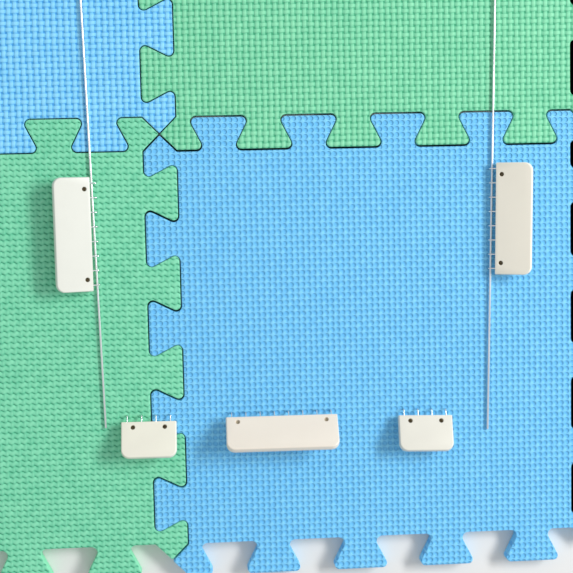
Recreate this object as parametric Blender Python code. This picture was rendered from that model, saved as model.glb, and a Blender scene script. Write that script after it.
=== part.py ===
"""Interlocking foam blocking mats with pin combs and blocking wires.

Four square foam mats lock together along dovetailed edges. Five moulded combs hold rows of
bent steel pins, which are pushed down into the foam over two straight blocking wires. The
pull of the work tips each comb up on its pins, so that its free edge stands off the foam.
Metres, +Z up, +Y towards the back. The origin is under the corner where the four mats meet.
"""

import math

import bmesh
import bpy
from mathutils import Matrix, Vector

# Mats
MAT_PITCH = 0.300  # from one seam's middle to the next
MAT_THICKNESS = 0.010
SEAM_DEPTH = 0.0232  # from a notch's floor to a tab's top
TAB_WIDTH = 0.0312  # a tab's or a notch's width at half its depth
TAB_FLARE = math.radians(27)  # how far a tab's side leans, so that it locks in its notch
TAB_FILLET = 0.0036
CORNER_FILLET = 0.0012  # where four mats meet
SEAM_GAP = 0.0008

# Combs
PIN_SPACING = 0.0100
END_MARGIN = 0.0043  # from the last pin to the comb's end
COMB_WIDTH = 0.0252
COMB_THICKNESS = 0.006
COMB_CORNER = 0.0057
COMB_EDGE = 0.0024  # rounding along the three outer sides
INNER_EDGE = 0.0003  # slight rounding where the pins come out
RECESS_DIAMETER = 0.0031
RECESS_FROM_EDGE = 0.0039
RECESS_FROM_END = 0.0083

# Pins and wires
PIN_DIAMETER = 0.0009
PIN_BEND = 0.0013
PIN_INSIDE = 0.0130  # length of pin held in the comb
PIN_POINT = 0.0018  # length of the tapered tip
PIN_COVER = 0.0016  # foam left under a pin's tip
WIRE_DIAMETER = 0.0016
WIRE_LENGTH = 0.450
WIRE_BLUNT = 0.0008  # length of a wire's rounded end

# Clearances
REST_GAP = 0.0003  # between a piece and the mat that it lies on
BORE_CLEARANCE = 0.0003  # around a pin, in the comb and in the foam
WIRE_CLEARANCE = 0.0003  # between a wire and the pins beside and over it
COMB_TO_WIRE = 0.0012  # the least space between a comb's pinned edge and a wire

# Facets
ARC_STEP = math.radians(20)  # along the mats' fillets
BEND_STEPS = 3
BORE_SIDES = 8
RECESS_SIDES = 16
TIP_SHARE = 0.15  # a pin's point against its shaft
BLUNT_SHARE = 0.6  # a wire's end against its shaft
CUT_PAST = 0.002  # how far a cutter runs past the face it cuts
NEAR = 0.00001

# Each comb: how many pins, the middle of its pinned edge's top, its turn, how far the pull of the
# work tips it up on its pins, and the depth of its recesses. A comb with a tab spans the seam
# between the two front mats: its place is measured from the middle of that tab, counted forwards
# from the corner where the mats meet
COMBS = {
    "comb_left": {"pins": 8, "at": (-0.0479, -0.0677), "turn": -89.9, "tilt": 18, "recess": 0.0042},
    "comb_right": {"pins": 8, "at": (0.2325, -0.0637), "turn": 88.9, "tilt": 21, "recess": 0.0042},
    "comb_front_left": {
        "pins": 4,
        "at": (-0.0132, -0.0017),
        "tab": 2,
        "turn": -0.5,
        "tilt": 23,
        "recess": 0.0042,
    },
    "comb_front_middle": {
        "pins": 8,
        "at": (0.0795, -0.1975),
        "turn": -0.3,
        "tilt": 38,
        "recess": 0.0015,
    },
    "comb_front_right": {
        "pins": 4,
        "at": (0.1813, -0.2010),
        "turn": -1.7,
        "tilt": 22,
        "recess": 0.0042,
    },
}

# Each wire: the comb that it runs under, which way along the comb its front end lies,
# its angle to the comb's edge, and how far its front end is from the comb's middle
WIRES = {
    "wire_left": {"comb": "comb_left", "front": 1, "skew": 1.26, "reach": 0.1355},
    "wire_right": {"comb": "comb_right", "front": -1, "skew": -0.36, "reach": 0.1503},
}

# Each mat: where it lies, its foam, and how far it is pulled away from the mat behind it
MATS = {
    "mat_back_left": {"cell": (-1, 1), "material": "foam_blue", "pulled": 0.0},
    "mat_back_right": {"cell": (1, 1), "material": "foam_green", "pulled": 0.0},
    "mat_front_left": {"cell": (-1, -1), "material": "foam_green", "pulled": 0.0},
    "mat_front_right": {"cell": (1, -1), "material": "foam_blue", "pulled": 0.0005},
}

MATERIALS = {
    "foam_green": ((0.12, 0.56, 0.34, 1), 0.75, 0.0),
    "foam_blue": ((0.16, 0.52, 0.90, 1), 0.75, 0.0),
    "comb_plastic": ((0.84, 0.82, 0.74, 1), 0.35, 0.0),
    "pin_steel": ((0.62, 0.62, 0.63, 1), 0.25, 1.0),
    "wire_steel": ((0.66, 0.66, 0.66, 1), 0.28, 1.0),
}

PIN_RADIUS = PIN_DIAMETER / 2
WIRE_RADIUS = WIRE_DIAMETER / 2
BORE_RADIUS = PIN_RADIUS + BORE_CLEARANCE
COMB_UNDERSIDE = MAT_THICKNESS + REST_GAP


def comb_length(pins):
    return (pins - 1) * PIN_SPACING + 2 * END_MARGIN


def skew_allowance(wire):
    """How far a slanting wire strays from its middle line along half a comb."""
    half = comb_length(COMBS[wire["comb"]]["pins"]) / 2
    return half * math.tan(math.radians(abs(wire["skew"])))


# The pins reach far enough over the comb's edge for the most slanted wire to lie behind their legs
WIDEST_SKEW = max(skew_allowance(wire) for wire in WIRES.values())
PIN_REACH = COMB_TO_WIRE + 2 * (WIRE_RADIUS + WIDEST_SKEW) + WIRE_CLEARANCE + PIN_RADIUS


def wire_offset(wire):
    """How far from a comb's pinned lower edge a wire lies where it passes closest to a pin."""
    tilt = math.radians(COMBS[wire["comb"]]["tilt"])
    beside_leg = PIN_REACH - PIN_RADIUS - WIRE_CLEARANCE - WIRE_RADIUS
    return (beside_leg + WIRE_RADIUS * math.sin(tilt)) / math.cos(tilt)


def height_over_wire(wire):
    """How high a pin leaves its tipped comb to pass over a wire."""
    tilt = math.radians(COMBS[wire["comb"]]["tilt"])
    middle = wire_offset(wire) * math.sin(tilt) + WIRE_RADIUS * math.cos(tilt)
    return middle + WIRE_RADIUS + WIRE_CLEARANCE + PIN_RADIUS


PIN_HEIGHT = max(height_over_wire(wire) for wire in WIRES.values())  # above the comb's underside


def comb_rise(comb):
    """How far a tipped comb's pinned edge is held up, so that its pins bend above the foam."""
    tilt = math.radians(comb["tilt"])
    bend_end = (PIN_HEIGHT - PIN_BEND) * math.cos(tilt) - PIN_REACH * math.sin(tilt)
    return max(0, PIN_RADIUS - bend_end)


def tip_height(comb):
    """Where a pin's tip would be in the comb's own frame with the least foam under it."""
    tilt = math.radians(comb["tilt"])
    drop = COMB_UNDERSIDE + comb_rise(comb) - PIN_COVER
    return (PIN_REACH * math.sin(tilt) - drop) / math.cos(tilt)


PIN_TIP = max(tip_height(comb) for comb in COMBS.values())  # all pins are equally long


def clear_scene():
    for obj in list(bpy.data.objects):
        bpy.data.objects.remove(obj, do_unlink=True)


def new_collection(name):
    collection = bpy.data.collections.new(name)
    bpy.context.scene.collection.children.link(collection)
    return collection


def make_materials():
    made = {}
    for name, (color, roughness, metallic) in MATERIALS.items():
        material = bpy.data.materials.new(name)
        material.use_nodes = True
        shader = material.node_tree.nodes["Principled BSDF"]
        shader.inputs["Base Color"].default_value = color
        shader.inputs["Roughness"].default_value = roughness
        shader.inputs["Metallic"].default_value = metallic
        made[name] = material
    return made


def mesh_object(name, bm, collection, material=None):
    """A mesh object from a bmesh, which is freed."""
    mesh = bpy.data.meshes.new(name)
    bm.to_mesh(mesh)
    bm.free()
    obj = bpy.data.objects.new(name, mesh)
    if material:
        mesh.materials.append(material)
    collection.objects.link(obj)
    return obj


def smooth(obj, angle=35):
    obj.data.shade_smooth()
    obj.data.set_sharp_from_angle(angle=math.radians(angle))


def poly_spline(curve, points, radii=None, cyclic=False):
    spline = curve.splines.new("POLY")
    spline.points.add(len(points) - 1)
    for index, point in enumerate(points):
        spline.points[index].co = (*point, 1)
        spline.points[index].radius = radii[index] if radii else 1
    spline.use_cyclic_u = cyclic


def curve_to_mesh(obj):
    """Replaces a curve object with a welded mesh object of the same name and place."""
    graph = bpy.context.evaluated_depsgraph_get()
    mesh = bpy.data.meshes.new_from_object(obj.evaluated_get(graph))
    bm = bmesh.new()
    bm.from_mesh(mesh)
    bmesh.ops.remove_doubles(bm, verts=bm.verts, dist=0.00001)
    bm.to_mesh(mesh)
    bm.free()
    name = obj.name
    collection = obj.users_collection[0]
    matrix = obj.matrix_world.copy()
    bpy.data.objects.remove(obj, do_unlink=True)
    solid = bpy.data.objects.new(name, mesh)
    solid.matrix_world = matrix
    collection.objects.link(solid)
    return solid


def side_layout():
    """How far a tab's sides lean, how many notches and tabs fit a side, and what is left at its ends."""
    lean = SEAM_DEPTH / 2 * math.tan(TAB_FLARE)
    fillet = TAB_FILLET / math.tan((math.pi / 2 - TAB_FLARE) / 2)
    least_end = SEAM_DEPTH / 2 - lean + fillet + CORNER_FILLET
    pairs = math.floor((MAT_PITCH - 2 * least_end) / (2 * TAB_WIDTH))
    return lean, pairs, (MAT_PITCH - 2 * pairs * TAB_WIDTH) / 2


def side_corners():
    """One side's corners as (distance along it, height out from it, fillet radius).

    The side starts with a part tab, ends with a part notch, and has whole ones between. Turned
    a quarter at a time it closes into an outline that mates with its own copies all round.
    """
    half = SEAM_DEPTH / 2
    lean, pairs, end = side_layout()
    corners = [(0, 0, CORNER_FILLET), (half, half, CORNER_FILLET)]
    for step in range(2 * pairs + 1):
        middle = end + step * TAB_WIDTH
        level = -half if step % 2 else half
        corners.append((middle + lean, level, TAB_FILLET))
        corners.append((middle - lean, -level, TAB_FILLET))
    corners.append((MAT_PITCH - half, -half, CORNER_FILLET))
    return corners


def mat_corners():
    """The four sides' corners, counter-clockwise round the mat's middle."""
    corners = []
    for quarter in range(4):
        turn = Matrix.Rotation(quarter * math.pi / 2, 2)
        for along, out, fillet in side_corners():
            point = Vector((along - MAT_PITCH / 2, -MAT_PITCH / 2 - out))
            corners.append((turn @ point, fillet))
    return corners


def rounded_outline(corners, inset):
    """Points of a counter-clockwise outline with an arc at each corner, drawn in by the inset."""
    points = []
    for index, (corner, fillet) in enumerate(corners):
        before = (corners[index - 1][0] - corner).normalized()
        after = (corners[(index + 1) % len(corners)][0] - corner).normalized()
        half_angle = before.angle(after) / 2
        centre = corner + (before + after).normalized() * fillet / math.sin(half_angle)
        start = corner + before * fillet / math.tan(half_angle) - centre
        convex = before.cross(after) < 0
        turn = (math.pi - 2 * half_angle) * (1 if convex else -1)
        radius = fillet - inset if convex else fillet + inset
        steps = math.ceil(abs(turn) / ARC_STEP)
        for step in range(steps + 1):
            spoke = Matrix.Rotation(turn * step / steps, 2) @ start.normalized()
            points.append(centre + spoke * radius)
    return points


def make_mat(name, mat, materials, parts, holes):
    """One foam mat, a flat outline as thick as the foam, pierced where pins go in."""
    curve = bpy.data.curves.new(name, "CURVE")
    curve.dimensions = "2D"
    curve.fill_mode = "BOTH"
    curve.extrude = MAT_THICKNESS / 2
    outline = rounded_outline(mat_corners(), SEAM_GAP / 2)
    poly_spline(curve, [(*point, 0) for point in outline], cyclic=True)
    obj = bpy.data.objects.new(name, curve)
    parts.objects.link(obj)
    column, row = mat["cell"]
    middle = (column * MAT_PITCH / 2, row * MAT_PITCH / 2 - mat["pulled"], MAT_THICKNESS / 2)
    obj.matrix_world = Matrix.Translation(middle)
    solid = curve_to_mesh(obj)
    solid.data.materials.append(materials[mat["material"]])
    cut_with(solid, holes)


def cut_with(obj, collection):
    """Cuts every object of the collection out of this one."""
    cut = obj.modifiers.new("holes", "BOOLEAN")
    cut.operation = "DIFFERENCE"
    cut.solver = "EXACT"
    cut.operand_type = "COLLECTION"
    cut.collection = collection


def pin_places(comb):
    """Where each pin comes out, as its distance from the comb's middle."""
    pins = comb["pins"]
    return [(index - (pins - 1) / 2) * PIN_SPACING for index in range(pins)]


def comb_foot(comb):
    """A level frame at a comb's pinned lower edge: X along it, Y the way the pins point, Z up."""
    x, y = comb["at"]
    if "tab" in comb:
        y -= side_layout()[-1] + (2 * comb["tab"] + 1.5) * TAB_WIDTH
    overhang = COMB_THICKNESS * math.sin(math.radians(comb["tilt"]))
    turn = Matrix.Rotation(math.radians(comb["turn"]), 4, "Z")
    return Matrix.Translation((x, y, COMB_UNDERSIDE)) @ turn @ Matrix.Translation((0, -overhang, 0))


def comb_matrix(comb):
    """The comb's own frame, tipped up about its pinned lower edge."""
    tip = Matrix.Rotation(-math.radians(comb["tilt"]), 4, "X")
    return Matrix.Translation((0, 0, comb_rise(comb))) @ comb_foot(comb) @ tip


def add_cylinder(bm, radius, start, end, sides=BORE_SIDES):
    """A closed cylinder from one point to another."""
    axis = end - start
    turn = axis.to_track_quat("Z", "Y").to_matrix().to_4x4()
    bmesh.ops.create_cone(
        bm,
        cap_ends=True,
        segments=sides,
        radius1=radius,
        radius2=radius,
        depth=axis.length,
        matrix=Matrix.Translation((start + end) / 2) @ turn,
    )


def add_swept_cylinder(bm, radius, start, end, step):
    """The closed space that a cylinder passes through as it moves by a step."""
    rod = bmesh.new()
    add_cylinder(rod, radius, start, end)
    verts = []
    for vert in rod.verts:
        verts.append(bm.verts.new(vert.co))
        verts.append(bm.verts.new(vert.co + step))
    rod.free()
    hull = bmesh.ops.convex_hull(bm, input=verts)
    inside = [item for item in hull["geom_interior"] if isinstance(item, bmesh.types.BMVert)]
    bmesh.ops.delete(bm, geom=inside, context="VERTS")


def make_cutter(name, bm, collection, matrix):
    cutter = mesh_object(name, bm, collection)
    cutter.matrix_world = matrix
    cutter.hide_render = True
    cutter.display_type = "WIRE"


def foam_hole_cutter(name, comb, holes):
    """The holes that one comb's pins make in the foam.

    Where a comb spans a seam they are slots, which let its leaning pins rise with either mat.
    """
    bm = bmesh.new()
    straight_up = comb_matrix(comb).to_3x3().inverted() @ Vector((0, 0, MAT_THICKNESS))
    for along in pin_places(comb):
        bottom = Vector((along, PIN_REACH, PIN_TIP - BORE_CLEARANCE))
        top = Vector((along, PIN_REACH, PIN_HEIGHT))
        if "tab" in comb:
            add_swept_cylinder(bm, BORE_RADIUS, bottom, top, straight_up)
        else:
            add_cylinder(bm, BORE_RADIUS, bottom, top)
    make_cutter(f"{name}_foam_holes", bm, holes, comb_matrix(comb))


def bore_cutter(name, comb, collection):
    """The pins' bores in the comb's edge, and the two recesses in its top."""
    bm = bmesh.new()
    for along in pin_places(comb):
        deep = Vector((along, -PIN_INSIDE - BORE_CLEARANCE, PIN_HEIGHT))
        add_cylinder(bm, BORE_RADIUS, deep, Vector((along, CUT_PAST, PIN_HEIGHT)))
    for end in (-1, 1):
        along = end * (comb_length(comb["pins"]) / 2 - RECESS_FROM_END)
        floor = Vector((along, -RECESS_FROM_EDGE, COMB_THICKNESS - comb["recess"]))
        above = Vector((along, -RECESS_FROM_EDGE, COMB_THICKNESS + CUT_PAST))
        add_cylinder(bm, RECESS_DIAMETER / 2, floor, above, RECESS_SIDES)
    make_cutter(f"{name}_bores", bm, collection, comb_matrix(comb))


def bevel_edges(bm, chosen, offset, segments):
    edges = [edge for edge in bm.edges if chosen(*(vert.co for vert in edge.verts))]
    bmesh.ops.bevel(
        bm,
        geom=edges,
        offset=offset,
        segments=segments,
        profile=0.5,
        affect="EDGES",
        clamp_overlap=True,
    )


def make_comb_body(name, comb, handle, material, parts, cutters):
    """A flat moulding with two rounded corners and soft edges, square along its pinned edge."""
    length = comb_length(comb["pins"])
    bm = bmesh.new()
    bmesh.ops.create_cube(bm, size=1)
    bmesh.ops.scale(bm, verts=bm.verts, vec=(length, COMB_WIDTH, COMB_THICKNESS))
    centre = Vector((0, -COMB_WIDTH / 2, COMB_THICKNESS / 2))
    bmesh.ops.translate(bm, verts=bm.verts, vec=centre)

    def outer_corner(a, b):
        upright = abs(a.z - b.z) > COMB_THICKNESS / 2
        return upright and a.y < centre.y

    def outer_rim(a, b):
        level = abs(a.z - b.z) < NEAR and abs(a.z - centre.z) > COMB_THICKNESS / 2 - NEAR
        return level and min(a.y, b.y) < -NEAR

    def pinned_face(a, b):
        return min(a.y, b.y) > -NEAR

    bevel_edges(bm, outer_corner, COMB_CORNER, 5)
    bevel_edges(bm, outer_rim, COMB_EDGE, 4)
    bevel_edges(bm, pinned_face, INNER_EDGE, 1)
    body = mesh_object(f"{name}_body", bm, parts, material)
    smooth(body)
    body.parent = handle
    own_cutters = bpy.data.collections.new(f"{name}_cutters")
    cutters.children.link(own_cutters)
    bore_cutter(name, comb, own_cutters)
    cut_with(body, own_cutters)


def pin_curve(material):
    """One bent pin: held in the comb, over its edge, then down into the foam to a point."""
    curve = bpy.data.curves.new("pin", "CURVE")
    curve.dimensions = "3D"
    curve.bevel_depth = PIN_RADIUS
    curve.bevel_resolution = 2
    curve.use_fill_caps = True
    curve.materials.append(material)
    path = [Vector((0, -PIN_INSIDE, PIN_HEIGHT))]
    for step in range(BEND_STEPS + 1):
        angle = math.pi / 2 * (1 - step / BEND_STEPS)
        centre = Vector((0, PIN_REACH - PIN_BEND, PIN_HEIGHT - PIN_BEND))
        path.append(centre + Vector((0, math.cos(angle), math.sin(angle))) * PIN_BEND)
    path.append(Vector((0, PIN_REACH, PIN_TIP + PIN_POINT)))
    path.append(Vector((0, PIN_REACH, PIN_TIP)))
    poly_spline(curve, path, [1] * (len(path) - 1) + [TIP_SHARE])
    return curve


def make_comb(name, comb, materials, pin, parts, cutters, holes):
    handle = bpy.data.objects.new(f"{name}_place", None)
    handle.matrix_world = comb_matrix(comb)
    parts.objects.link(handle)
    make_comb_body(name, comb, handle, materials["comb_plastic"], parts, cutters)
    for number, along in enumerate(pin_places(comb), start=1):
        obj = bpy.data.objects.new(f"{name}_pin_{number}", pin)
        parts.objects.link(obj)
        obj.parent = handle
        obj.location = (along, 0, 0)
    foam_hole_cutter(name, comb, holes)


def make_wire(name, wire, material, parts):
    """A straight wire lying on the mats, under one comb's pins."""
    curve = bpy.data.curves.new(name, "CURVE")
    curve.dimensions = "3D"
    curve.bevel_depth = WIRE_RADIUS
    curve.bevel_resolution = 2
    curve.use_fill_caps = True
    curve.materials.append(material)
    stops = (0, WIRE_BLUNT, WIRE_LENGTH - WIRE_BLUNT, WIRE_LENGTH)
    poly_spline(curve, [(stop, 0, 0) for stop in stops], (BLUNT_SHARE, 1, 1, BLUNT_SHARE))
    obj = bpy.data.objects.new(name, curve)
    parts.objects.link(obj)
    offset = wire_offset(wire) - skew_allowance(wire)
    skew = math.radians(wire["skew"]) + (math.pi if wire["front"] > 0 else 0)
    in_comb = Matrix.Translation((0, offset, WIRE_RADIUS)) @ Matrix.Rotation(skew, 4, "Z")
    front_end = Matrix.Translation((-wire["reach"], 0, 0))
    obj.matrix_world = comb_foot(COMBS[wire["comb"]]) @ in_comb @ front_end


def build():
    clear_scene()
    parts = new_collection("blocking_mats")
    cutters = new_collection("cutters")
    cutters.hide_render = True
    holes = bpy.data.collections.new("foam_holes")
    cutters.children.link(holes)
    materials = make_materials()
    pin = pin_curve(materials["pin_steel"])
    for name, comb in COMBS.items():
        make_comb(name, comb, materials, pin, parts, cutters, holes)
    for name, wire in WIRES.items():
        make_wire(name, wire, materials["wire_steel"], parts)
    for name, mat in MATS.items():
        make_mat(name, mat, materials, parts, holes)


build()
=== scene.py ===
# Foam blocking mats, pin combs and blocking wires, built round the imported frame.
import math

import bmesh
import bpy
import numpy as np
from mathutils import Matrix, Vector


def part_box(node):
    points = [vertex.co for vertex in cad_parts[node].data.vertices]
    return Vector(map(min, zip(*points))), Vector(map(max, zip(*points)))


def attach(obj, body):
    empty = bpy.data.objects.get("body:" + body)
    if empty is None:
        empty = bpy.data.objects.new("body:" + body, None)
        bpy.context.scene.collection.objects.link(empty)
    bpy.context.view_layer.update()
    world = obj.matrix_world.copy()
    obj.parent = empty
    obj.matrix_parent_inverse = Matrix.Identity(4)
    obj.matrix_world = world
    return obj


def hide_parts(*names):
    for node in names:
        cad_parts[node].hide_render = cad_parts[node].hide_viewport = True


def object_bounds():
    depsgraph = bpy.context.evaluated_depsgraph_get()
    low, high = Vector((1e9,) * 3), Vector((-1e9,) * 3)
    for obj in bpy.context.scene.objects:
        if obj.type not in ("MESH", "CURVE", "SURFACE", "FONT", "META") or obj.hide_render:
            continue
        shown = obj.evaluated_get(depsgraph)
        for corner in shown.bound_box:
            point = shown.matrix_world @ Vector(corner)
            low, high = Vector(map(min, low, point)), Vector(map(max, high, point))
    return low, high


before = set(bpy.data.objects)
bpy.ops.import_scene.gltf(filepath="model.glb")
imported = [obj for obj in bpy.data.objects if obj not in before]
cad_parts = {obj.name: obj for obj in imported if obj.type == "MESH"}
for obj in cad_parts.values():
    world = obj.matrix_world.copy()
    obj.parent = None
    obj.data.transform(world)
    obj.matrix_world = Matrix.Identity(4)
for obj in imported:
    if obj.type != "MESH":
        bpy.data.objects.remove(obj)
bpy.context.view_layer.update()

combNames = ["comb_left", "comb_right", "comb_front_left", "comb_front_middle", "comb_front_right"]
wireNames = ["wire_left", "wire_right"]
tiny = 0.00001  # lengths below this count as nothing


def pinNames(comb):
    return sorted(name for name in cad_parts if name.startswith(f"{comb}_pin_"))


def nodePoints(name):
    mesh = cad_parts[name].data
    points = np.empty(len(mesh.vertices) * 3)
    mesh.vertices.foreach_get("co", points)
    return points.reshape(-1, 3)


def combFrame(comb):
    # the comb's own frame, and its size in it: X along the pinned edge, Y the way that edge faces
    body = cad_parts[f"{comb}_body"].data
    widest = max(body.polygons, key=lambda face: face.area)
    up = widest.normal * (1 if widest.normal.z > 0 else -1)
    points = nodePoints(f"{comb}_body")
    pins = pinNames(comb)
    first, last = (Vector(nodePoints(pin).mean(axis=0)) for pin in (pins[0], pins[-1]))
    side = (last - first).normalized()
    forward = up.cross(side).normalized()
    if forward.dot((first + last) / 2 - Vector(points.mean(axis=0))) < 0:
        side, forward = -side, -forward
    along, out, height = (points @ np.array(axis) for axis in (side, forward, up))
    foot = side * (along.max() + along.min()) / 2 + forward * out.max() + up * height.min()
    turn = Matrix((side, forward, up)).transposed().to_4x4()
    return Matrix.Translation(foot) @ turn, Vector(map(np.ptp, (along, out, height)))


def pinPoints(pin, matrix):
    # a pin's points in its comb's frame
    back = np.array(matrix.inverted())
    return nodePoints(pin) @ back[:3, :3].T + back[:3, 3]


def finished(name, bm, material=None, smoothAngle=None):
    # a mesh object at the origin, with its place in its mesh
    mesh = bpy.data.meshes.new(name)
    bm.to_mesh(mesh)
    bm.free()
    return addPiece(name, mesh, material, smoothAngle)


def addPiece(name, mesh, material, smoothAngle):
    piece = bpy.data.objects.new(name, mesh)
    bpy.context.scene.collection.objects.link(piece)
    if material:
        mesh.materials.clear()
        mesh.materials.append(material)
    if smoothAngle:
        mesh.shade_smooth()
        mesh.set_sharp_from_angle(angle=math.radians(smoothAngle))
    return piece


def baked(piece):
    # applies the piece's modifiers and returns the mesh that they make
    graph = bpy.context.evaluated_depsgraph_get()
    return bpy.data.meshes.new_from_object(piece.evaluated_get(graph))


def discard(*pieces):
    for piece in pieces:
        bpy.data.objects.remove(piece, do_unlink=True)


def boolean(piece, other, operation):
    cut = piece.modifiers.new(other.name, "BOOLEAN")
    cut.operation = operation
    cut.object = other
    cut.solver = "MANIFOLD"


class Value:
    # wraps an output socket, so that sums and products of values add their Math nodes
    def __init__(self, shader, socket):
        self.shader = shader
        self.socket = socket

    def math(self, operation, *others):
        sockets = dict(enumerate((self, *others)))
        return self.shader.node("ShaderNodeMath", {"operation": operation}, sockets)

    def part(self, output):
        return Value(self.shader, self.socket.node.outputs[output])

    def __add__(self, other):
        return self.math("ADD", other)

    def __sub__(self, other):
        return self.math("SUBTRACT", other)

    def __rsub__(self, other):
        return self.shader.node("ShaderNodeMath", {"operation": "SUBTRACT"}, {0: other, 1: self})

    def __mul__(self, other):
        return self.math("MULTIPLY", other)

    def __truediv__(self, other):
        return self.math("DIVIDE", other)

    def __lt__(self, other):
        return self.math("LESS_THAN", other)

    __radd__ = __add__
    __rmul__ = __mul__


class Shader:
    def __init__(self, name, **constants):
        self.material = bpy.data.materials.new(name)
        self.material.use_nodes = True
        self.tree = self.material.node_tree
        self.surface = self.tree.nodes["Principled BSDF"]
        for socket, value in constants.items():
            self.surface.inputs[socket.replace("_", " ")].default_value = value

    def node(self, kind, settings, sockets, output=0):
        made = self.tree.nodes.new(kind)
        for key, value in settings.items():
            if key == "stops":
                self.setStops(made.color_ramp, value)
            else:
                setattr(made, key, value)
        for key, value in sockets.items():
            self.feed(made.inputs[key], value)
        return Value(self, made.outputs[output])

    def feed(self, socket, value):
        if isinstance(value, Value):
            self.tree.links.new(value.socket, socket)
        else:
            socket.default_value = value

    def setStops(self, ramp, stops):
        while len(ramp.elements) < len(stops):
            ramp.elements.new(0.5)
        for element, (position, color) in zip(ramp.elements, stops):
            element.position = position
            element.color = color

    def objectPlace(self, scale=(1, 1, 1)):
        place = self.node("ShaderNodeTexCoord", {}, {}, "Object")
        return self.node("ShaderNodeMapping", {}, {"Vector": place, "Scale": scale})

    def noise(self, place, scale, detail=2.0):
        sockets = {"Vector": place, "Scale": scale, "Detail": detail}
        return self.node("ShaderNodeTexNoise", {}, sockets, "Fac")

    def noiseVector(self, place, scale, amount):
        # the place, shifted a little by a slow noise
        noise = self.node("ShaderNodeTexNoise", {}, {"Vector": place, "Scale": scale}, "Color")
        centred = self.vector("SUBTRACT", noise, (0.5, 0.5, 0.5))
        return self.vector("ADD", self.vector("MULTIPLY", centred, (amount,) * 3), place)

    def vector(self, operation, one, other):
        return self.node("ShaderNodeVectorMath", {"operation": operation}, {0: one, 1: other})

    def mixColor(self, factor, low, high):
        sockets = {"Factor": factor, 6: low, 7: high}
        return self.node("ShaderNodeMix", {"data_type": "RGBA"}, sockets, 2)

    def surfaceColor(self, color):
        self.feed(self.surface.inputs["Base Color"], color)

    def surfaceRoughness(self, value):
        self.feed(self.surface.inputs["Roughness"], value)

    def bumped(self, height, strength, distance):
        sockets = {"Height": height, "Strength": strength, "Distance": distance}
        self.feed(self.surface.inputs["Normal"], self.node("ShaderNodeBump", {}, sockets))


# the emboss is a plain weave of strands that run along rows and columns: drop is how far a strand's
# crest stands below the top, rise how far it climbs over its neighbour, round how far its shoulders
# fall and half its half width in cells; pit is how deep the gaps between strands are, wave how far
# the rows swing within a cell, and bowl the depth and radius of a dimple at each corner of a cell;
# samples say where the grid's points fall in a cell, which begins at such a corner
weaves = {
    "ribbed": {
        "row": {"drop": 0.0, "rise": 0.05, "round": 0.30, "half": 0.45},
        "column": {"drop": 0.03, "rise": 0.14, "round": 0.20, "half": 0.24},
        "pit": 0.55,
        "wave": 0.11,
        "bowl": (0.0, 0.3),
        "samplesAlong": (0, 0.13, 0.5, 0.87),
        "samplesAcross": (0, 0.24, 0.5, 0.76),
    },
    "plain": {
        "row": {"drop": 0.0, "rise": 0.20, "round": 0.20, "half": 0.33},
        "column": {"drop": 0.0, "rise": 0.20, "round": 0.20, "half": 0.33},
        "pit": 0.60,
        "wave": 0.03,
        "bowl": (0.0, 0.3),
        "samplesAlong": (0, 0.2, 0.5, 0.8),
        "samplesAcross": (0, 0.2, 0.5, 0.8),
    },
    "dimpled": {
        "row": {"drop": 0.0, "rise": 0.03, "round": 0.30, "half": 0.62},
        "column": {"drop": 0.07, "rise": 0.05, "round": 0.26, "half": 0.62},
        "pit": 0.30,
        "wave": 0.03,
        "bowl": (0.50, 0.41),
        "samplesAlong": (0, 0.22, 0.5, 0.78),
        "samplesAcross": (0, 0.22, 0.5, 0.78),
    },
}
weaveScale = 0.001  # heights and depths are in millimetres
bowlWall = 0.12  # how wide a dimple's wall is, in cells
unevenness = {"height": 0.00004, "seed": 7}  # of whole cells

# cells along X and Y in one mat's pitch, and which way the weave's rows run
matLook = {
    "mat_back_left": {"color": "blue", "weave": "plain", "cells": (70, 74), "rowsAlongX": False},
    "mat_back_right": {"color": "green", "weave": "plain", "cells": (73, 73), "rowsAlongX": True},
    "mat_front_left": {"color": "green", "weave": "ribbed", "cells": (70, 76), "rowsAlongX": True},
    "mat_front_right": {"color": "blue", "weave": "dimpled", "cells": (75, 73), "rowsAlongX": True},
}
matEdge = {
    "rounding": 0.0011,
    "segments": 3,
    "lift": 0.0002,  # over the weave's crests, so that the rounding meets them gently
    "below": 0.001,  # how far the weave's slab goes past the underside
    "pinHole": 0.00055,
    "holeSides": 12,
    "smooth": 62,
}
# the flank tone is close to the foam's own colour; the lighter crest tone is painted highlight and
# the darker pit tone painted shade
foamTones = {  # pit, flank and crest
    "mat_back_left": ((0.055, 0.340, 0.760), (0.160, 0.560, 0.930), (0.285, 0.710, 1.000)),
    "mat_back_right": ((0.055, 0.405, 0.205), (0.155, 0.590, 0.340), (0.265, 0.730, 0.440)),
    "mat_front_left": ((0.030, 0.330, 0.160), (0.115, 0.545, 0.320), (0.245, 0.735, 0.460)),
    "mat_front_right": ((0.110, 0.450, 0.840), (0.150, 0.530, 0.900), (0.225, 0.640, 0.950)),
}
foamLook = {
    "specular": 0.4,
    "roughness": 0.6,
    "roughnessSwing": 0.2,
    "flank": 0.55,  # where the flank's tone stands between the pit's and the crest's
    # painted shade in the dimples and, stronger, along their walls
    "bowlShade": 0.12,
    "creaseShade": 0.16,
    "grainScale": 2600,
    "grainTint": 0.12,
    "grainHeight": 0.03,
    "cloudScale": 22,
    "cloudTint": 0.16,
    "warpScale": 60,
    "warp": 0.0011,
    "mottleScale": 160,
    "mottleTint": 0.5,
    "bump": 0.9,
}


def strandValue(strand, over, off, pit):
    # the strand of weaveHeight, as shader values
    shoulder = (1 - (off / strand["half"]).math("POWER", 2)).math("MAXIMUM", 0).math("SQRT") - 1
    height = strand["rise"] * (over - 1) + strand["round"] * shoulder - strand["drop"]
    return (off < strand["half"]) * (height + pit) - pit


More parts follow.
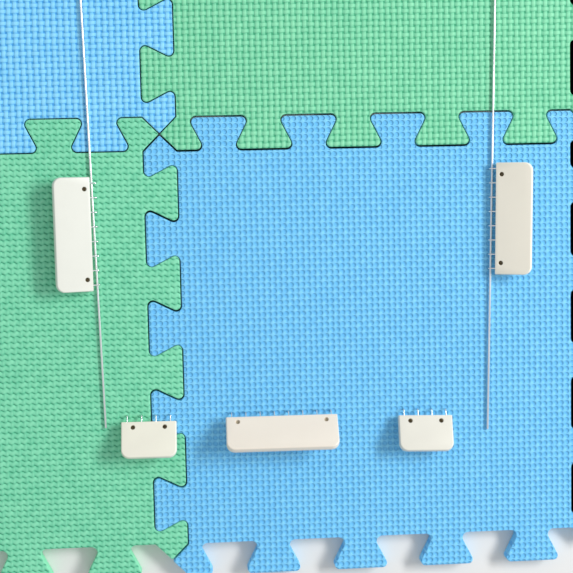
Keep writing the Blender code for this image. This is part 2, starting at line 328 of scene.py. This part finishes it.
def bowlValue(fromColumn, fromRow, depth, radius):
    # a round dimple at the corners of a cell, with a level floor
    off = ((0.5 - fromColumn).math("POWER", 2) + (0.5 - fromRow).math("POWER", 2)).math("SQRT")
    inside = (radius - off) / bowlWall
    return inside.math("MAXIMUM", 0).math("MINIMUM", 1) * depth


def foamMaterial(node):
    look = matLook[node]
    tones = [(*tone, 1) for tone in foamTones[node]]
    style = weaves[look["weave"]]
    shader = Shader(f"{node} foam", Specular_IOR_Level=foamLook["specular"])
    here = shader.node("ShaderNodeTexCoord", {}, {}, "Object")
    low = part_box(node)[0]
    sizes = [matPitch / count for count in look["cells"]]
    start = [1 - low[axis] / sizes[axis] for axis in (0, 1)]
    drift = shader.noiseVector(here, foamLook["warpScale"], foamLook["warp"])
    cells = shader.node(
        "ShaderNodeMapping",
        {},
        {"Vector": drift, "Location": (*start, 0), "Scale": (1 / sizes[0], 1 / sizes[1], 1)},
    )
    split = shader.node("ShaderNodeSeparateXYZ", {}, {"Vector": cells})
    places = [split.part(0), split.part(1)]
    across, along = places if look["rowsAlongX"] else reversed(places)
    along = along + (across * math.tau).math("SINE") * style["wave"]
    fromColumn = across.math("FRACT") - 0.5
    fromRow = along.math("FRACT") - 0.5
    odd = (across.math("FLOOR") + along.math("FLOOR")).math("MODULO", 2)
    rowOver = (fromColumn * math.pi).math("COSINE") * (1 - odd * 2)
    columnOver = (fromRow * math.pi).math("COSINE") * (odd * 2 - 1)
    offRow, offColumn = fromRow.math("ABSOLUTE"), fromColumn.math("ABSOLUTE")
    row = strandValue(style["row"], rowOver, offRow, style["pit"])
    column = strandValue(style["column"], columnOver, offColumn, style["pit"])
    emboss = shader.node("ShaderNodeAttribute", {"attribute_name": "emboss"}, {}, "Fac")
    bowl = bowlValue(offColumn, offRow, *style["bowl"])
    strands = row.math("MAXIMUM", column) * emboss
    bowl = bowl * emboss
    height = strands - bowl
    depth = style["bowl"][0]
    wall = bowl * (depth - bowl) * (4 / max(depth, 0.01) ** 2)  # one halfway up a dimple's wall
    # painted shade: the dimples' floors and, most of all, their walls are darkened
    dimpleShade = bowl * foamLook["bowlShade"] + wall * foamLook["creaseShade"]
    grain = shader.noise(here, foamLook["grainScale"], 3.0)
    cloud = shader.noise(here, foamLook["cloudScale"], 3.0)
    mottle = shader.noise(here, foamLook["mottleScale"], 2.0)
    noises = ((grain, "grainTint"), (cloud, "cloudTint"), (mottle, "mottleTint"))
    middle = sum(foamLook[tint] for noise, tint in noises) / 2
    uneven = sum(noise * foamLook[tint] for noise, tint in noises) - middle
    # painted light: the colour follows the weave's height, lighter on the crests as painted
    # highlight and darker in the gaps and dimples as painted shade
    level = 1 + (strands - dimpleShade) / style["pit"] + uneven
    stops = tuple(zip((0.0, foamLook["flank"], 1.0), tones))
    color = shader.node("ShaderNodeValToRGB", {"stops": stops}, {"Fac": level}, "Color")
    shader.surfaceColor(color)
    swing = foamLook["roughnessSwing"]
    shader.surfaceRoughness(foamLook["roughness"] + grain * swing - swing / 2)
    shader.bumped(height + grain * foamLook["grainHeight"], foamLook["bump"], weaveScale)
    return shader.material


def outlineFace(bm, node):
    # the mat's top as one face, its pin holes closed
    bm.from_mesh(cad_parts[node].data)
    bmesh.ops.remove_doubles(bm, verts=bm.verts, dist=2 * tiny)
    top = max(vert.co.z for vert in bm.verts)
    others = [face for face in bm.faces if face.calc_center_median().z < top - tiny]
    bmesh.ops.delete(bm, geom=others, context="FACES")
    rim = [edge for edge in bm.edges if edge.is_boundary]
    bmesh.ops.holes_fill(bm, edges=rim, sides=16)
    bmesh.ops.dissolve_faces(bm, faces=bm.faces)
    return top


def roundedPrism(node):
    bm = bmesh.new()
    top = outlineFace(bm, node)
    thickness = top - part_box(node)[0][2]
    lift = matEdge["lift"]
    bmesh.ops.translate(bm, verts=bm.verts, vec=(0, 0, lift))
    made = bmesh.ops.extrude_face_region(bm, geom=list(bm.faces))
    low = [item for item in made["geom"] if isinstance(item, bmesh.types.BMVert)]
    bmesh.ops.translate(bm, verts=low, vec=(0, 0, -thickness - lift))
    bmesh.ops.recalc_face_normals(bm, faces=bm.faces)
    level = [e for e in bm.edges if abs(e.verts[0].co.z - e.verts[1].co.z) < tiny]
    bmesh.ops.bevel(
        bm,
        geom=level,
        offset=matEdge["rounding"],
        segments=matEdge["segments"],
        profile=0.5,
        affect="EDGES",
        material=-1,
    )
    return finished(f"{node}_prism", bm)


def weaveHeight(across, along, style):
    # how high the emboss stands at a place given in cells
    along = along + np.sin(across * math.tau) * style["wave"]
    odd = (np.floor(across) + np.floor(along)) % 2
    fromColumn, fromRow = across % 1 - 0.5, along % 1 - 0.5

    def strandAt(strand, over, off):
        shoulder = np.sqrt(np.clip(1 - (off / strand["half"]) ** 2, 0, 1)) - 1
        height = strand["rise"] * (over - 1) + strand["round"] * shoulder - strand["drop"]
        return np.where(np.abs(off) < strand["half"], height, -style["pit"])

    row = strandAt(style["row"], np.cos(np.pi * fromColumn) * (1 - odd * 2), fromRow)
    column = strandAt(style["column"], np.cos(np.pi * fromRow) * (odd * 2 - 1), fromColumn)
    depth, radius = style["bowl"]
    off = np.hypot(0.5 - np.abs(fromColumn), 0.5 - np.abs(fromRow))
    bowl = np.clip((radius - off) / bowlWall, 0, 1) * depth
    return (np.maximum(row, column) - bowl) * weaveScale


def weaveSlab(node, top):
    # a slab whose top is the woven emboss, one grid over the whole mat
    look = matLook[node]
    style = weaves[look["weave"]]
    low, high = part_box(node)
    stops = [np.array(style[way]) for way in ("samplesAcross", "samplesAlong")]
    if not look["rowsAlongX"]:
        stops.reverse()
    sizes = [matPitch / count for count in look["cells"]]
    counts = [math.ceil((high[axis] - low[axis]) / sizes[axis]) + 2 for axis in (0, 1)]
    segments = [count * len(stops[0]) - 1 for count in counts]
    bm = bmesh.new()
    bmesh.ops.create_grid(bm, x_segments=segments[0], y_segments=segments[1], size=0.5)
    points = np.array([vert.co for vert in bm.verts])
    places = []
    for axis in (0, 1):
        index = np.rint((points[:, axis] + 0.5) * segments[axis]).astype(int)
        cell = index // len(stops[axis])
        places.append(cell + stops[axis][index % len(stops[axis])])
        points[:, axis] = low[axis] + (places[axis] - 1) * sizes[axis]
    across, along = places if look["rowsAlongX"] else reversed(places)
    rng = np.random.default_rng(unevenness["seed"])
    uneven = rng.normal(0, unevenness["height"], (max(counts) + 1, max(counts) + 1))
    height = weaveHeight(across, along, style)
    height += uneven[np.floor(along).astype(int), np.floor(across).astype(int)]
    points[:, 2] = top + np.minimum(height, 0)
    for vert, point in zip(bm.verts, points):
        vert.co = point
    made = bmesh.ops.extrude_edge_only(bm, edges=[edge for edge in bm.edges if edge.is_boundary])
    for item in made["geom"]:
        if isinstance(item, bmesh.types.BMVert):
            item.co.z = low[2] - matEdge["below"]
    bmesh.ops.holes_fill(bm, edges=[edge for edge in bm.edges if edge.is_boundary], sides=0)
    bmesh.ops.recalc_face_normals(bm, faces=bm.faces)
    return finished(f"{node}_weave", bm)


def markEmboss(mesh, node, top):
    # one over the woven top, and none on the walls and the underside
    points = np.empty(len(mesh.vertices) * 3)
    mesh.vertices.foreach_get("co", points)
    depth = (top - points.reshape(-1, 3)[:, 2]) / weaveScale
    style = weaves[matLook[node]["weave"]]
    emboss = np.clip(3 - 2 * depth / (style["pit"] + style["bowl"][0]), 0, 1)
    mesh.attributes.new("emboss", "FLOAT", "POINT").data.foreach_set("value", emboss)


def holeCutter(node):
    # slim holes that follow the pins' legs
    bm = bmesh.new()
    low, high = (Vector(corner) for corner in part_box(node))
    for comb in combNames:
        matrix, size = combFrame(comb)
        for pin in pinNames(comb):
            points = pinPoints(pin, matrix)
            radius = np.ptp(points[:, 0]) / 2
            x = points[:, 0].mean()
            y = points[:, 1].max() - radius
            bottom = points[:, 2].min() - matEdge["pinHole"]
            depth = points[:, 2].max() - bottom
            middle = matrix @ Vector((x, y, bottom + depth / 2))
            if not (low.x < middle.x < high.x and low.y < middle.y < high.y):
                continue
            bmesh.ops.create_cone(
                bm,
                cap_ends=True,
                segments=matEdge["holeSides"],
                radius1=matEdge["pinHole"],
                radius2=matEdge["pinHole"],
                depth=depth,
                matrix=matrix @ Matrix.Translation((x, y, bottom + depth / 2)),
            )
    return finished(f"{node}_holes", bm)


def makeMat(node, material):
    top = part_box(node)[1][2]
    prism = roundedPrism(node)
    slab = weaveSlab(node, top)
    boolean(slab, prism, "INTERSECT")
    holes = holeCutter(node)
    if len(holes.data.vertices):
        boolean(slab, holes, "DIFFERENCE")
    mesh = baked(slab)
    discard(slab, prism, holes)
    piece = addPiece(f"{node}_foam", mesh, material, matEdge["smooth"])
    markEmboss(mesh, node, top)
    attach(piece, node)
    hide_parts(node)
    print(piece.name, len(mesh.polygons), "faces")


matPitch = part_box("mat_back_right")[0][0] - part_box("mat_back_left")[0][0]
for node in matLook:
    makeMat(node, foamMaterial(node))

combLook = {
    "corner": 0.0057,
    "cornerSteps": 10,
    "draft": 0.0003,  # how far the top and bottom stand in from the parting line
    "rim": 0.0008,
    "bottomRim": 0.0012,
    "rimSteps": 5,
    "innerRim": 0.0003,
    "innerSteps": 3,
    "seam": 0.0002,  # half the width of the parting line, and its depth
    "recess": 0.0031,
    "recessFromEdge": 0.0039,
    "recessFromEnd": 0.0083,
    "recessDepth": 0.0042,
    "shallowDepth": 0.0015,
    "recessFloor": 0.6,  # the level floor's share of the radius
    "recessFillet": 0.5,  # how far the walls' foot rises, as a share of the radius
    "recessSides": 28,
    "mouth": 0.00025,
    # painted shade: a dark brown laid into the comb recesses, darker deeper down, standing in for
    # the shadow inside them
    "paintedShadeColor": (0.34, 0.28, 0.17, 1),
    "paintedShadeDepth": 0.0018,
    "paintedShadeReach": 0.55,  # round a recess's axis, in recess widths
    "paintedShadeFloor": 0.2,  # the share of the thickness under which nothing is marked
    "specular": 0.5,
    "shade": 0.95,
    "cloudScale": 60,
    "cloudSwing": 0.08,
    "peelScale": 1800,
    "peelSwing": 0.12,
    "peelBump": 0.12,
    "peelHeight": 0.00015,
    "roughness": 0.36,
    "smooth": 30,
}
# painted light and shade: the combs are one plastic, and each comb's tone is set lighter or darker
# for how the light falls on it
plasticTones = {
    "comb_left": (0.765, 0.765, 0.69, 1),
    "comb_right": (0.925, 0.865, 0.735, 1),
    "comb_front_left": (0.84, 0.81, 0.69, 1),
    "comb_front_middle": (0.845, 0.765, 0.66, 1),
    "comb_front_right": (0.775, 0.75, 0.66, 1),
}


def plasticMaterial(comb):
    shader = Shader(f"{comb} plastic", Specular_IOR_Level=combLook["specular"])
    here = shader.objectPlace()
    cloud = shader.noise(here, combLook["cloudScale"], 3.0)
    peel = shader.noise(here, combLook["peelScale"], 2.0)
    light = plasticTones[comb]
    shade = tuple(tone * combLook["shade"] for tone in light[:3]) + (1,)
    # painted shade: inside the recesses the colour is mixed towards a dark brown that stands in for
    # their shadow
    recess = shader.node("ShaderNodeAttribute", {"attribute_name": "recess"}, {}, "Fac")
    unshaded = shader.mixColor(cloud, shade, light)
    shader.surfaceColor(shader.mixColor(recess, unshaded, combLook["paintedShadeColor"]))
    peelSwing, cloudSwing = combLook["peelSwing"], combLook["cloudSwing"]
    swing = peel * peelSwing + cloud * cloudSwing - (peelSwing + cloudSwing) / 2
    shader.surfaceRoughness(combLook["roughness"] + swing)
    shader.bumped(peel, combLook["peelBump"], combLook["peelHeight"])
    return shader.material


def bevelWhere(bm, chosen, offset, segments):
    edges = [edge for edge in bm.edges if chosen(*(vert.co for vert in edge.verts))]
    bmesh.ops.bevel(
        bm,
        geom=edges,
        offset=offset,
        segments=segments,
        profile=0.5,
        affect="EDGES",
        material=-1,
        clamp_overlap=True,
    )


def cutAcross(bm, heights):
    # level cuts round the whole solid
    for height in heights:
        everything = bm.verts[:] + bm.edges[:] + bm.faces[:]
        bmesh.ops.bisect_plane(bm, geom=everything, plane_co=(0, 0, height), plane_no=(0, 0, 1))


def partingLine(bm, middle):
    # a fine groove round the moulding, where its two halves meet
    cutAcross(bm, (middle - combLook["seam"], middle + combLook["seam"]))
    bm.normal_update()
    for vert in bm.verts:
        if abs(vert.co.z - middle) < tiny:
            inward = Vector((vert.normal.x, vert.normal.y, 0)).normalized()
            vert.co -= inward * combLook["seam"]


def turned(profile, segments):
    # a solid of revolution from (radius, height) pairs that start and end on the axis
    bm = bmesh.new()
    verts = [bm.verts.new((radius, 0, height)) for radius, height in profile]
    edges = [bm.edges.new(pair) for pair in zip(verts, verts[1:])]
    bmesh.ops.spin(
        bm,
        geom=verts + edges,
        cent=(0, 0, 0),
        axis=(0, 0, 1),
        angle=math.tau,
        steps=segments,
        use_merge=True,
    )
    bmesh.ops.remove_doubles(bm, verts=bm.verts, dist=tiny)
    bmesh.ops.recalc_face_normals(bm, faces=bm.faces)
    return bm


def recessCutter(comb, size):
    # the two blind holes near the pinned edge
    depth = combLook["shallowDepth"] if comb == "comb_front_middle" else combLook["recessDepth"]
    radius, mouth = combLook["recess"] / 2, combLook["mouth"]
    profile = (
        (0, -depth),
        (radius * combLook["recessFloor"], -depth),
        (radius, -depth + radius * combLook["recessFillet"]),
        (radius, -mouth),
        (radius + 2 * mouth, mouth),
        (0, mouth),
    )
    both = bmesh.new()
    for side in (-1, 1):
        out = (side * (size.x / 2 - combLook["recessFromEnd"]), -combLook["recessFromEdge"], size.z)
        bm = turned(profile, combLook["recessSides"])
        bmesh.ops.translate(bm, verts=bm.verts, vec=out)
        mesh = bpy.data.meshes.new("recess")
        bm.to_mesh(mesh)
        bm.free()
        both.from_mesh(mesh)
        bpy.data.meshes.remove(mesh)
    return finished(f"{comb}_recess", both)


def combBlank(size):
    # one moulding, its pinned face at y = 0 and its underside at z = 0
    bm = bmesh.new()
    bmesh.ops.create_cube(bm, size=1)
    bmesh.ops.scale(bm, verts=bm.verts, vec=size)
    bmesh.ops.translate(bm, verts=bm.verts, vec=(0, -size.y / 2, size.z / 2))
    bevelWhere(
        bm,
        lambda a, b: abs(a.z - b.z) > tiny and a.y < -tiny,
        combLook["corner"],
        combLook["cornerSteps"],
    )
    cutAcross(bm, (size.z / 2,))
    draft = combLook["draft"]
    ends = [vert for vert in bm.verts if abs(vert.co.z - size.z / 2) > tiny]
    taper = (1 - 2 * draft / size.x, 1 - draft / size.y, 1)
    bmesh.ops.scale(bm, verts=ends, vec=taper)
    for height, rim in ((size.z, combLook["rim"]), (0, combLook["bottomRim"])):
        bevelWhere(
            bm,
            lambda a, b: max(abs(a.z - height), abs(b.z - height)) < tiny and min(a.y, b.y) < -tiny,
            rim,
            combLook["rimSteps"],
        )
    bevelWhere(
        bm,
        lambda a, b: min(a.y, b.y) > -tiny,
        combLook["innerRim"],
        combLook["innerSteps"],
    )
    partingLine(bm, size.z / 2)
    return bm


def markRecesses(mesh, size):
    # rising to one with depth inside the two recesses, for the painted shade in them
    reach = combLook["recess"] * combLook["paintedShadeReach"]
    marks = []
    for vert in mesh.vertices:
        out = abs(vert.co.x) - (size.x / 2 - combLook["recessFromEnd"])
        near = math.hypot(out, vert.co.y + combLook["recessFromEdge"]) < reach
        deep = (size.z - vert.co.z) / combLook["paintedShadeDepth"]
        above = vert.co.z > size.z * combLook["paintedShadeFloor"]
        marks.append(min(max(deep, 0), 1) if near and above else 0.0)
    mesh.attributes.new("recess", "FLOAT", "POINT").data.foreach_set("value", marks)


def makeCombBody(comb, material):
    matrix, size = combFrame(comb)
    body = finished(f"{comb}_blank", combBlank(size))
    recess = recessCutter(comb, size)
    boolean(body, recess, "DIFFERENCE")
    mesh = baked(body)
    discard(body, recess)
    markRecesses(mesh, size)
    mesh.transform(matrix)
    piece = addPiece(f"{comb}_moulding", mesh, material, combLook["smooth"])
    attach(piece, comb)
    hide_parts(f"{comb}_body")


for comb in combNames:
    makeCombBody(comb, plasticMaterial(comb))
print("combs made")

steelLook = {
    "color": (0.97, 0.97, 0.98, 1),
    "shade": (0.82, 0.82, 0.84, 1),
    "pinGrain": (1, 1, 1),
    "pinRoughness": 0.14,
    "wireGrain": (4, 0.06, 4),  # drawn out along the wires
    "wireRoughness": 0.30,
    "streakScale": 300,
    "streakSwing": 0.14,
    "streakBump": 0.1,
    "streakHeight": 0.0001,
    "bend": 0.0013,
    "bendSteps": 8,
    "inside": 0.0125,
    "point": 0.0022,
    "taper": ((0.75, 0.4), (0.12, 0.6)),  # narrowing over each share of a pin's point
    "blunt": 0.0007,
    "ending": ((0, 0.45), (0.4, 0.8), (1, 1)),  # share of the blunt end, and its width there
    "sides": 12,
    "smooth": 40,
}


def steelMaterial(name, scale, roughness):
    shader = Shader(name, Metallic=1.0)
    here = shader.objectPlace(scale)
    streak = shader.noise(here, steelLook["streakScale"], 3.0)
    shader.surfaceColor(shader.mixColor(streak, steelLook["shade"], steelLook["color"]))
    shader.surfaceRoughness(roughness + streak * steelLook["streakSwing"])
    shader.bumped(streak, steelLook["streakBump"], steelLook["streakHeight"])
    return shader.material


def startRod(bm, radius, end, direction):
    # a disc at the rod's end, whose rim is drawn along the rod
    turn = direction.to_track_quat("Z", "Y").to_matrix().to_4x4()
    made = bmesh.ops.create_circle(
        bm,
        cap_ends=True,
        segments=steelLook["sides"],
        radius=radius,
        matrix=Matrix.Translation(end) @ turn,
    )
    return list({edge for vert in made["verts"] for edge in vert.link_edges})


def drawOn(bm, rim, step):
    # draws the rod's open rim on by a step, and gives the new rim's edges and vertices
    made = bmesh.ops.extrude_edge_only(bm, edges=rim)["geom"]
    verts = [item for item in made if isinstance(item, bmesh.types.BMVert)]
    bmesh.ops.translate(bm, verts=verts, vec=step)
    return [item for item in made if isinstance(item, bmesh.types.BMEdge)], verts


def middleOf(verts):
    return sum((vert.co for vert in verts), Vector()) / len(verts)


def narrow(bm, verts, share):
    space = Matrix.Translation(-middleOf(verts))
    bmesh.ops.scale(bm, verts=verts, vec=(share,) * 3, space=space)


def bentPin(bm, along, reach, height, radius, tip):
    # held in the comb, over its edge, and down into the foam to a point
    bend = steelLook["bend"]
    root = Vector((along, -steelLook["inside"], height))
    rim = startRod(bm, radius, root, Vector((0, 1, 0)))
    rim, verts = drawOn(bm, rim, (0, reach - bend + steelLook["inside"], 0))
    centre = (along, reach - bend, height - bend)
    made = bmesh.ops.spin(
        bm,
        geom=verts + rim,
        cent=centre,
        axis=(-1, 0, 0),
        angle=math.pi / 2,
        steps=steelLook["bendSteps"],
    )
    rim = [item for item in made["geom_last"] if isinstance(item, bmesh.types.BMEdge)]
    rim, verts = drawOn(bm, rim, (0, 0, tip + steelLook["point"] - height + bend))
    for share, part in steelLook["taper"]:
        rim, verts = drawOn(bm, rim, (0, 0, -steelLook["point"] * part))
        narrow(bm, verts, share)
    bmesh.ops.holes_fill(bm, edges=rim, sides=0)


def makePins(comb, material):
    matrix, size = combFrame(comb)
    bm = bmesh.new()
    for pin in pinNames(comb):
        points = pinPoints(pin, matrix)
        radius = np.ptp(points[:, 0]) / 2
        bentPin(
            bm,
            (points[:, 0].max() + points[:, 0].min()) / 2,
            points[:, 1].max() - radius,
            points[:, 2].max() - radius,
            radius,
            points[:, 2].min(),
        )
    bmesh.ops.recalc_face_normals(bm, faces=bm.faces)
    bmesh.ops.transform(bm, matrix=matrix, verts=bm.verts)
    piece = finished(f"{comb}_pins", bm, material, steelLook["smooth"])
    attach(piece, comb)
    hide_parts(*pinNames(comb))


def makeWire(wire, material):
    # a straight rod with slightly rounded ends
    points = nodePoints(wire)
    middleY = points[:, 1].mean()
    low = Vector(points[points[:, 1] < middleY].mean(axis=0))
    high = Vector(points[points[:, 1] > middleY].mean(axis=0))
    axis = (high - low).normalized()
    along = (points - np.array(low)) @ np.array(axis)
    off = points - np.array(low) - along[:, None] * np.array(axis)
    radius = np.linalg.norm(off, axis=1).max()
    start = low + axis * float(along.min())
    length = float(np.ptp(along))
    near = [(steelLook["blunt"] * part, wide) for part, wide in steelLook["ending"]]
    far = [(length - distance, wide) for distance, wide in reversed(near)]
    profile = near + far
    bm = bmesh.new()
    rim = startRod(bm, radius * profile[0][1], start, axis)
    for (before, _), (after, wide) in zip(profile, profile[1:]):
        rim, verts = drawOn(bm, rim, axis * (after - before))
        middle = middleOf(verts)
        for vert in verts:
            vert.co = middle + (vert.co - middle).normalized() * radius * wide
    bmesh.ops.holes_fill(bm, edges=rim, sides=0)
    bmesh.ops.recalc_face_normals(bm, faces=bm.faces)
    piece = finished(f"{wire}_rod", bm, material, steelLook["smooth"])
    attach(piece, wire)
    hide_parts(wire)


pinSteel = steelMaterial("pin steel", steelLook["pinGrain"], steelLook["pinRoughness"])
wireSteel = steelMaterial("wire steel", steelLook["wireGrain"], steelLook["wireRoughness"])
for comb in combNames:
    makePins(comb, pinSteel)
for wire in wireNames:
    makeWire(wire, wireSteel)
print("pins and wires made")

studio = {
    "floor": (0.8, 0.79, 0.77, 1),
    "floorShade": (0.76, 0.75, 0.73, 1),
    "floorRoughness": 0.7,
    "floorScale": 3,
    "floorReach": 4,
    "floorGap": 0.0002,  # under the mats
    "world": (0.95, 0.975, 1.0, 1),
    "worldStrength": 0.6,
    "keyPlace": (2.12, 0.52, 1.57),
    "keySize": (1.5, 0.5),
    "keyPower": 61,
    "keyTarget": (0.08, -0.1, 0),
}


def makeFloor():
    bm = bmesh.new()
    bmesh.ops.create_grid(bm, x_segments=1, y_segments=1, size=studio["floorReach"])
    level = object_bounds()[0][2] - studio["floorGap"]
    bmesh.ops.translate(bm, verts=bm.verts, vec=(0, 0, level))
    shader = Shader("floor", Roughness=studio["floorRoughness"])
    cloud = shader.noise(shader.objectPlace(), studio["floorScale"])
    shader.surfaceColor(shader.mixColor(cloud, studio["floorShade"], studio["floor"]))
    floor = finished("floor", bm, shader.material)


def makeLight(name, place, size, power, target):
    data = bpy.data.lights.new(name, "AREA")
    data.shape = "RECTANGLE"
    data.size, data.size_y = size
    data.energy = power
    light = bpy.data.objects.new(name, data)
    light.location = place
    light.rotation_mode = "QUATERNION"
    light.rotation_quaternion = (Vector(target) - Vector(place)).to_track_quat("-Z", "Y")
    bpy.context.scene.collection.objects.link(light)


def makeWorld():
    world = bpy.data.worlds.new("studio")
    world.use_nodes = True
    background = world.node_tree.nodes["Background"]
    background.inputs["Color"].default_value = studio["world"]
    background.inputs["Strength"].default_value = studio["worldStrength"]
    bpy.context.scene.world = world
    bpy.context.scene.view_settings.view_transform = "Standard"


view = {
    "place": (0.0270, -0.0386, 0.8443),
    "turn": (-4.63, -4.10, -1.28),  # degrees from straight down
    "lens": 75.4,
    "sensor": 36,
    "clip": 0.01,
}


def makeCamera():
    data = bpy.data.cameras.new("camera")
    data.lens = view["lens"]
    data.sensor_width = view["sensor"]
    data.clip_start = view["clip"]
    camera = bpy.data.objects.new("camera", data)
    camera.location = view["place"]
    camera.rotation_euler = [math.radians(angle) for angle in view["turn"]]
    bpy.context.scene.collection.objects.link(camera)
    bpy.context.scene.camera = camera


makeFloor()
makeWorld()
makeLight(
    "key",
    studio["keyPlace"],
    studio["keySize"],
    studio["keyPower"],
    studio["keyTarget"],
)
makeCamera()
print("studio made")
